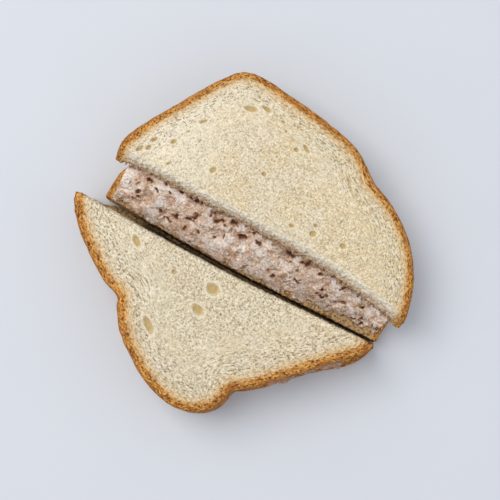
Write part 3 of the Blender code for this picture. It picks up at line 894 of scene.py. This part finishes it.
def flakesAt(places, normals, look, draws, seed):
    # flakes that lie on a surface, with what their colour needs to know
    count = len(places)
    lengths = draws.uniform(*look["lengths"], count)
    sizes = np.stack([
        lengths,
        lengths * draws.uniform(*look["widths"], count),
        lengths * draws.uniform(*look["thicks"], count),
    ], axis=1)
    headings = 4.0 * wavy(places, 10.0, seed) + draws.normal(0.0, look["astray"], count)
    turns = laidAlong(normals, headings, look["tilt"], draws)
    places = places - normals * (look["sunk"] * lengths)[:, None]
    shapes = flakeShapes(look, ballShape(2)[0], places, turns, sizes, draws)
    return {
        "shapes": shapes,
        "places": places,
        "turns": turns,
        "lengths": lengths,
        "tints": draws.random(count),
    }


def pressPits(at, pits, look, seed):
    # how deep each point lies in a pit, from 0 to 1, how far it sinks, and how near a pit it is, for the
    # painted shade beside it
    ragged = wavy(at, look["pitWave"], seed)
    share, sunk, beside = np.zeros(len(at)), np.zeros(len(at)), np.zeros(len(at))
    for centre, normal, length, width, turn in pits:
        heading = np.array([math.cos(turn), math.sin(turn), 0.0])
        along = unit(heading - normal * (heading @ normal))
        step = at - centre
        u, v = step @ along / (0.5 * length), step @ np.cross(normal, along) / (0.5 * width)
        off = np.sqrt(u * u + v * v) * (1.0 + look["pitRough"] * ragged)
        off += (np.abs(step @ normal) > width) * 9.0  # what lies much deeper or higher isn't in it
        inside = eased(off, 1.4, 0.25)
        share = np.maximum(share, inside * min(1.0, width / look["fullPit"]))
        sunk = np.maximum(sunk, inside * look["pitDeep"] * width)
        # painted shade beside each pit, thrown to one side of it
        beside = np.maximum(beside, eased(off - 0.6 * u, 2.6, 1.1))
    return share, sunk, beside


def makeTuna(node, name, facing, bottomSlice, own):
    look = {**tunaLook, **own}
    seed, limit, ends = look["seed"], look["limit"], look["ends"]
    piece = newPiece(name, nodeMesh(node))
    core = placesOf(piece)
    corners = core[trianglesOf(piece)]
    steep = np.abs(unit(np.cross(corners[:, 1] - corners[:, 0], corners[:, 2] - corners[:, 0]))[:, 2])
    onTop = np.unique(trianglesOf(piece)[steep > 0.97])
    onTop = onTop[core[onTop, 2] > 16.0]
    topOf = fitted(core[onTop, 0], core[onTop, 1], core[onTop, 2], (5, 5))
    solid = BVHTree.FromPolygons(core.tolist(), trianglesOf(piece).tolist())

    def breadUnder(p):
        # the height of the bottom slice below each low point
        heights = np.full(len(p), -9.0)
        for i in np.flatnonzero(p[:, 2] < look["breadBelow"]):
            start = Vector((p[i, 0], p[i, 1], look["lookFrom"])) * mm
            met = bottomSlice.ray_cast(start, Vector((0.0, 0.0, -1.0)))[0]
            heights[i] = met.z / mm if met else 0.0
        return heights

    def heldBack(value, room):
        # what comes near a limit gives way softly before it
        soft = look["givesWay"]
        given = value + soft * np.exp(np.minimum(room / soft - 1.0, 0.0)) - room
        return np.where(room < soft, given, value)

    def between(p):
        # kept on its own side of the gap between the halves, below the top slice and above the bottom one
        p = p.reshape(-1, 3).copy()
        room = facing * (limit - p[:, 1])
        p[:, 1] = limit - facing * heldBack(room, room)
        p[:, 0] = ends[0] + heldBack(p[:, 0] - ends[0], p[:, 0] - ends[0])
        p[:, 0] = ends[1] - heldBack(ends[1] - p[:, 0], ends[1] - p[:, 0])
        p[:, 2] = np.minimum(p[:, 2], topOf(p[:, 0], p[:, 1]) + 0.1)
        p[:, 2] = np.maximum(p[:, 2], np.maximum(breadUnder(p) + look["onBread"], look["lowest"]))
        return p

    def lifted(shapes):
        # whole flakes are lifted out of the bottom slice, so that they keep their form
        flat = shapes.reshape(-1, 3)
        sunk = (breadUnder(flat) + look["onBread"] - flat[:, 2]).reshape(shapes.shape[:2]).max(axis=1)
        shapes[:, :, 2] += np.clip(sunk, 0.0, look["liftMost"])[:, None]
        return between(shapes).reshape(shapes.shape)

    draws = np.random.default_rng(seed)
    made = []
    for i, (kind, count) in enumerate(((chunkLook, look["chunks"]), (shredLook, look["shreds"]))):
        places, normals = scatter(corners[steep < 0.9], count, draws)
        made.append(flakesAt(places, normals, kind, draws, seed + i))
    bm = bmesh.new()
    bm.from_mesh(piece.data)
    for flakes in made:
        spare = joinedCopies("flakes", lifted(flakes["shapes"]), ballShape(2)[1])
        bm.from_mesh(spare)
        bpy.data.meshes.remove(spare)
    bm.to_mesh(piece.data)
    bm.free()
    makeFine(piece, look["voxel"], look["smoothing"])

    # each point takes its grain and tint from the flake that it belongs to
    at, out = placesOf(piece), normalsOf(piece)
    facts = ("places", "turns", "lengths", "tints")
    places, turns, lengths, tints = (
        np.concatenate([flakes[fact] for flakes in made]) for fact in facts
    )
    marks = [places + step * (turns[:, :, 0] * lengths[:, None]) for step in (-0.33, 0.0, 0.33)]
    tree = treeOf(np.concatenate(marks))
    near = np.array([tree.find(p)[1] for p in at.tolist()]) % len(places)
    fibre = np.einsum("nij,ni->nj", turns[near], at - places[near])
    nearest = [solid.find_nearest(p)[1].z for p in at.tolist()]
    hidden = np.abs(nearest) > 0.9

    lump = wavy(at, look["lumpWave"], seed + 1)
    lift = look["lumps"] * lump
    lift += look["knobs"] * wavy(at, look["knobWave"], seed + 2)
    lift += look["threads"] * wavy(fibre * (0.2, 1.0, 1.0), look["threadWave"], seed + 3)
    lift += look["grains"] * wavy(at, look["grainWave"], seed + 4)
    lift[hidden] *= 0.2

    rng = random.Random(seed)
    shown = np.flatnonzero(~hidden)
    pits = []
    for x, y, length, width, turn in look["placedPits"]:
        i = shown[np.argmin(np.hypot(at[shown, 0] - x, at[shown, 1] - y) - 0.02 * at[shown, 2])]
        larger = look["larger"] if y > look["underTop"] else look["smaller"]
        pits.append((at[i], out[i], length * larger, width * larger, math.radians(turn)))
    for _ in range(look["morePits"]):
        i = shown[rng.randrange(len(shown))]
        length = rng.uniform(*look["smallPits"])
        pits.append((at[i], out[i], length, length * rng.uniform(0.5, 1.0), rng.uniform(0.0, math.pi)))
    below = topOf(at[shown, 0], at[shown, 1]) - at[shown, 2]
    high = shown[(below > look["underFootFrom"]) & (below < look["underFootTo"])]
    for _ in range(look["footPits"]):
        i = high[rng.randrange(len(high))]
        length = rng.uniform(*look["underFoot"])
        pits.append((at[i], out[i], length, length * rng.uniform(0.4, 0.9), rng.uniform(0.0, math.pi)))
    pit, sunk, beside = pressPits(at, pits, look, seed + 5)

    at = between(at + out * (lift - sunk)[:, None])
    bead = look["bead"] * np.maximum(wavy(at, look["beadWave"], seed + 6), 0.0) * ~hidden
    at = at + out * bead[:, None]
    # how far each point lies below its smoothed neighbours, for the painted shade in the hollows
    smooth = relaxed(at, edgesOf(piece), look["hollowRounds"])
    hollow = np.einsum("ij,ij->i", smooth - at, out) / look["hollowDeep"]
    # oil and painted shade between the lumps, and painted shade just below the top slice and beside the
    # pits
    oilAndShade = np.maximum(eased(0.6 * wavy(at, 2.8, seed + 8) - lump, 0.0, 0.36), look["leastShade"])
    under = eased(topOf(at[:, 0], at[:, 1]) - at[:, 2], look["bandFrom"], look["bandFull"])
    under *= 0.65 + wavy(at, 2.0, seed + 10)
    oilAndShade = np.maximum(oilAndShade, look["bandShade"] * under)
    # painted highlight on the tops of the lumps
    crestHighlight = eased(lump + 0.4 * wavy(at, look["knobWave"], seed + 9), 0.05, 0.36)
    moveTo(piece, at)
    keepAttribute(piece, "flesh", (tints[near], np.maximum(hollow, 0.0), np.maximum(oilAndShade, 0.9 * beside)))
    keepAttribute(piece, "fibre", (fibre[:, 0], fibre[:, 1], fibre[:, 2]))
    # painted shade on a patch of the filling, in the pits' colour
    (middleX, middleY), reach, most = look["shadeSpot"]
    shadeSpot = most * eased(np.hypot(at[:, 0] - middleX, at[:, 1] - middleY), reach, 0.7 * reach)
    keepAttribute(piece, "pit", (np.maximum(pit, shadeSpot), at[:, 2], crestHighlight))
    thinOut(piece, hidden, look["most"])
    finishPiece(piece, tuna, "tuna_salad", node)

    # loose shreds that lie on it, clear of its pits
    free = np.flatnonzero(~hidden & (pit < 0.05) & (beside < 0.7))
    chosen = draws.choice(free, look["loose"], replace=False)
    flakes = flakesAt(at[chosen], out[chosen], looseLook, draws, seed + 2)
    oilAndShade = np.full(look["loose"], look["leastShade"])
    return dict(flakes, shapes=lifted(flakes["shapes"]), oilAndShade=oilAndShade, shadeSpot=shadeSpot[chosen])


def makeLooseShreds(name, parts):
    facts = ("places", "turns", "tints", "oilAndShade", "shadeSpot", "shapes")
    places, turns, tints, oilAndShade, shadeSpot, shapes = (
        np.concatenate([part[fact] for part in parts]) for fact in facts
    )
    mesh = joinedCopies(name, shapes, ballShape(2)[1])
    piece = bpy.data.objects.new(name, mesh)
    bpy.context.scene.collection.objects.link(piece)
    each = shapes.shape[1]
    fibre = np.einsum("fij,fni->fnj", turns, shapes - places[:, None]).reshape(-1, 3)
    tint = np.repeat(tints, each)
    none = np.zeros(len(tint))
    keepAttribute(piece, "flesh", (tint, none, np.repeat(oilAndShade, each)))
    keepAttribute(piece, "fibre", (fibre[:, 0], fibre[:, 1], fibre[:, 2]))
    keepAttribute(piece, "pit", (np.repeat(shadeSpot, each), shapes[:, :, 2].ravel(), none))
    finishPiece(piece, tuna, "tuna_salad")


def solidTree(node):
    bm = nodeMesh(node)
    tree = BVHTree.FromBMesh(bm)
    bm.free()
    return tree


halfAFish = solidTree("half_a_tuna")
halfBFish = solidTree("half_b_tuna")

# the larger its crustScale, the narrower a slice's browned rim
halfABottom = {"pores": (), "crustScale": 1.4, "seed": 11, "back": 0.5, "backOver": 9.0}
halfATop = {"pores": halfAPores, "crustScale": 1.1, "seed": 12, "torn": 1.0}
halfBBottom = {"pores": (), "crustScale": 1.4, "seed": 13, "bulges": (((73.0, -25.0), 20.0, 2.4),)}
halfBTop = {
    "pores": halfBPores,
    "crustScale": 0.86,
    "seed": 14,
    "back": 0.45,
    "backTo": 50.0,
    "cutHidden": 3.0,
}
makeSlice("half_a_bottom_slice", "halfABottomSlice", -1.0, halfAFish, halfABottom)
makeSlice("half_a_top_slice", "halfATopSlice", -1.0, halfAFish, halfATop)
makeSlice("half_b_bottom_slice", "halfBBottomSlice", 1.0, halfBFish, halfBBottom)
makeSlice("half_b_top_slice", "halfBTopSlice", 1.0, halfBFish, halfBTop)
print("bread made")

halfAFilling = {
    "limit": -7.7,  # it stays on its own side of the gap
    "ends": (-73.2, 82.2),
    "chunks": 240,
    "shreds": 1600,
    "placedPits": halfAPits,
    "morePits": 35,
    "footPits": 60,
    "loose": 420,
    "seed": 21,
}
halfBFilling = {
    "limit": -10.6,
    "ends": (-87.0, 80.0),
    "chunks": 150,
    "shreds": 1000,
    "placedPits": (),
    "morePits": 40,
    "footPits": 8,
    # painted shade on all of its filling, more at the right end, as it shows only under its top slice
    "leastShade": 0.7,
    "shadeSpot": ((61.0, -34.0), 34.0, 0.5),
    "loose": 90,
    "seed": 22,
}
looseParts = [
    makeTuna("half_a_tuna", "halfATuna", -1.0, solidTree("half_a_bottom_slice"), halfAFilling),
    makeTuna("half_b_tuna", "halfBTuna", 1.0, solidTree("half_b_bottom_slice"), halfBFilling),
]
makeLooseShreds("looseShreds", looseParts)
print("tuna made")


# Light, floor and camera

stage = {
    "turn": 28.5,  # how far the cut's direction is turned from the picture's width, in degrees
    "centre": (2.4, 5.5),
    "above": 650.0,
    "lens": 88.4,
    "floor": paint(204, 209, 217),
    "floorPale": paint(207, 212, 219),
    "sky": (0.93, 0.95, 1.0, 1.0),
    "skyStrength": 0.7,
    "window": (1.0, 0.96, 0.9),
    "windowSize": 2.6,  # in metres
    "windowStrength": 101.0,
    "windowAt": (-1.6, 1.3, 3.5),  # to the right, up and above, as the picture lies
}


def makeStage(look):
    turn = math.radians(look["turn"])
    right = Vector((math.cos(turn), math.sin(turn), 0.0))
    upwards = Vector((-math.sin(turn), math.cos(turn), 0.0))
    middle = Vector((*look["centre"], 0.0)) * mm

    bm = bmesh.new()
    bmesh.ops.create_grid(bm, x_segments=2, y_segments=2, size=1.5)
    floor = newPiece("floor", bm)
    material, tree, shader = newFinish("pale_floor")
    place = millimetres(tree)
    soft = speckled(tree, place, (60.0, 60.0, 60.0), 1.0)
    tree.links.new(mixed(tree, soft, look["floor"], look["floorPale"]), shader.inputs["Base Color"])
    shader.inputs["Roughness"].default_value = 0.6
    floor.data.materials.append(material)

    camera = bpy.data.objects.new("camera", bpy.data.cameras.new("camera"))
    camera.data.lens = look["lens"]
    camera.data.sensor_width = 36.0
    camera.data.clip_start = 0.01
    camera.location = middle + Vector((0.0, 0.0, look["above"] * mm))
    camera.rotation_euler = (0.0, 0.0, turn)
    bpy.context.scene.collection.objects.link(camera)
    bpy.context.scene.camera = camera

    world = bpy.data.worlds.new("room")
    world.use_nodes = True
    sky = world.node_tree.nodes["Background"]
    sky.inputs["Color"].default_value = look["sky"]
    sky.inputs["Strength"].default_value = look["skyStrength"]
    bpy.context.scene.world = world

    lamp = bpy.data.objects.new("window", bpy.data.lights.new("window", "AREA"))
    lamp.data.size = look["windowSize"]
    lamp.data.energy = look["windowStrength"]
    lamp.data.color = look["window"]
    aside, up, above = look["windowAt"]
    lamp.location = middle + (aside * right + up * upwards + Vector((0.0, 0.0, above)))
    lamp.rotation_euler = (middle - lamp.location).to_track_quat("-Z", "Y").to_euler()
    bpy.context.scene.collection.objects.link(lamp)
    bpy.context.scene.view_settings.view_transform = "Standard"


makeStage(stage)
print("stage made")
